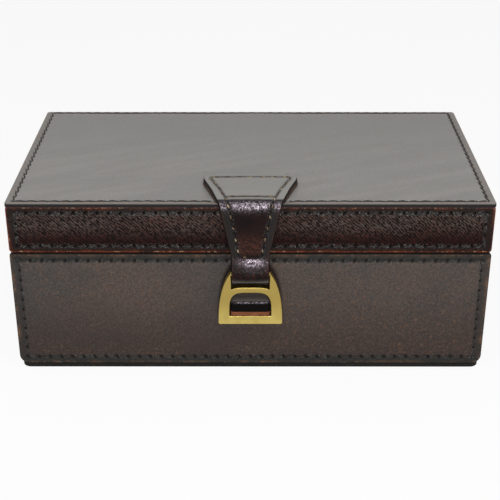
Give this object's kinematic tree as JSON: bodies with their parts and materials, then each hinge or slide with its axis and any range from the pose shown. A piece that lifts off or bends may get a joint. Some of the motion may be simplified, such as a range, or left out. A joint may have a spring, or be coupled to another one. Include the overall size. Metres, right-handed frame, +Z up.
{
  "type": "leather jewellery case",
  "caption": "Stitched leather jewellery case on wooden boards, hinged lid, brass stirrup on a leather strap that hooks over a leather catch, suede-lined bays and ring rolls inside.",
  "frame": {"origin": "middle of the sole leather's underside, on the table", "axes": "+X to the right along the case's length, +Y from the closure towards the hinges, +Z up"},
  "size_m": [0.23, 0.1408, 0.0933],
  "materials": {
    "body_leather": "matte dark brown, mottled, worn tan at the edges",
    "lid_leather": "satin dark maroon-brown, fine grain, worn tan at the edges",
    "strap_leather": "polished dark maroon, fine grain",
    "cut_leather": "bare tan cut edge",
    "boards": "dark stained, sanded",
    "suede": "brushed suede",
    "ring_padding": "brushed suede over soft filling",
    "brass": "satin"
  },
  "bodies": {
    "case": {"case_front_leather": "body_leather", "case_back_leather": "body_leather", "case_left_leather": "body_leather", "case_right_leather": "body_leather", "catch_cover": "strap_leather", "catch_core": "cut_leather", "base_sole": "cut_leather", "case_bottom_board": "boards", "case_front_board": "boards", "case_back_board": "boards", "case_left_board": "boards", "case_right_board": "boards", "floor_lining": "suede", "front_lining": "suede", "back_lining": "suede", "left_lining": "suede", "right_lining": "suede", "ring_divider": "suede", "long_divider": "suede", "cross_divider": "suede", "ring_bed": "ring_padding", "ring_roll_1": "ring_padding", "ring_roll_2": "ring_padding", "ring_roll_3": "ring_padding", "ring_roll_4": "ring_padding", "ring_roll_5": "ring_padding", "ring_roll_6": "ring_padding", "hinge_case_leaves": "brass", "hinge_pins": "brass", "hinge_case_screws": "brass"},
    "lid": {"lid_top_board": "boards", "lid_front_board": "boards", "lid_back_board": "boards", "lid_left_board": "boards", "lid_right_board": "boards", "lid_top_leather": "lid_leather", "lid_front_leather": "lid_leather", "lid_back_leather": "lid_leather", "lid_left_leather": "lid_leather", "lid_right_leather": "lid_leather", "lid_wall_lining": "suede", "lid_pad": "suede", "hinge_lid_leaves": "brass", "hinge_lid_screws": "brass", "strap_tab": "strap_leather", "strap_tab_filler": "cut_leather"},
    "strap": {"strap_tongue": "strap_leather"},
    "stirrup": {"stirrup": "brass"}
  },
  "joints": [
    {"name": "lid_hinge", "type": "hinge", "parent": "case", "child": "lid", "pos_m": [0, 0.0663, 0.0636], "axis": [-1, 0, 0], "range_deg": [0, 100]},
    {"name": "strap_flex", "type": "hinge", "parent": "lid", "child": "strap", "pos_m": [0, -0.06711, 0.09211], "axis": [-1, 0, 0], "range_deg": [0, 95]},
    {"name": "stirrup_swing", "type": "hinge", "parent": "strap", "child": "stirrup", "pos_m": [0, -0.0684, 0.055], "axis": [-1, 0, 0], "range_deg": [0, 150]}
  ]
}
